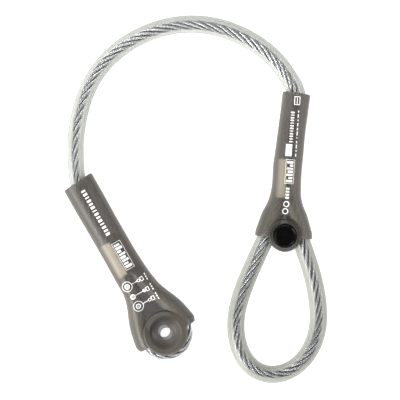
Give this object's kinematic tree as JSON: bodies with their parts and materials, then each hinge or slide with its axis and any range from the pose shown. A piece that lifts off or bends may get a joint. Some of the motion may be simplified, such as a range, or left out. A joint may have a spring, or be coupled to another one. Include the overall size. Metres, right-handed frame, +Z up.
{
  "type": "wire rope anchor strop",
  "caption": "Sheathed steel wire rope strop: a thimble eye in a moulded cover at one end, a large sheathed loop with a plugged cover at the other, lying in a wide arc.",
  "frame": {"origin": "centre of the hole in the small eye, on the middle plane of the eye cover", "axes": "+Z up out of the plane that the strop lies in, along the small eye's axis; +Y from the small eye towards the top of the arc; +X towards the loop end"},
  "size_m": [0.1546, 0.2165, 0.017],
  "materials": {
    "rope_steel": "drawn galvanised wire",
    "clear_sheath": "clear soft tubing",
    "thimble_steel": "bright plated",
    "ferrule_alloy": "pressed, satin",
    "cover_smoke": "soft translucent smoke grey, satin",
    "plug_black": "glossy black"
  },
  "bodies": {
    "strop_body": {"wire_rope_span": "rope_steel", "wire_rope_tail": "rope_steel", "span_sheath": "clear_sheath", "loop_sheath_ends": "clear_sheath", "loop_ferrule": "ferrule_alloy", "loop_cover": "cover_smoke"},
    "small_eye": {"wire_rope_eye": "rope_steel", "span_sheath_end": "clear_sheath", "eye_thimble": "thimble_steel", "eye_ferrule": "ferrule_alloy", "eye_cover": "cover_smoke"},
    "big_loop": {"wire_rope_loop": "rope_steel", "loop_sheath": "clear_sheath"},
    "plug_front": {"plug_stud": "plug_black"},
    "plug_back": {"plug_cap": "plug_black"}
  },
  "joints": [
    {"name": "span_flex", "type": "hinge", "parent": "strop_body", "child": "small_eye", "pos_m": [-0.0529, 0.112, -0.0021], "axis": [0, 0, 1], "range_deg": [-45, 8], "stiffness_Nm_per_rad": 1},
    {"name": "loop_fold", "type": "hinge", "parent": "strop_body", "child": "big_loop", "pos_m": [0.0684, 0.0371, -0.0016], "axis": [-0.9978, 0.0663, 0], "range_deg": [-35, 35], "stiffness_Nm_per_rad": 1.5},
    {"name": "stud_pull", "type": "slide", "parent": "strop_body", "child": "plug_front", "axis": [0, 0, 1], "range_m": [0, 0.014]},
    {"name": "cap_pull", "type": "slide", "parent": "strop_body", "child": "plug_back", "axis": [0, 0, -1], "range_m": [0, 0.014]}
  ]
}
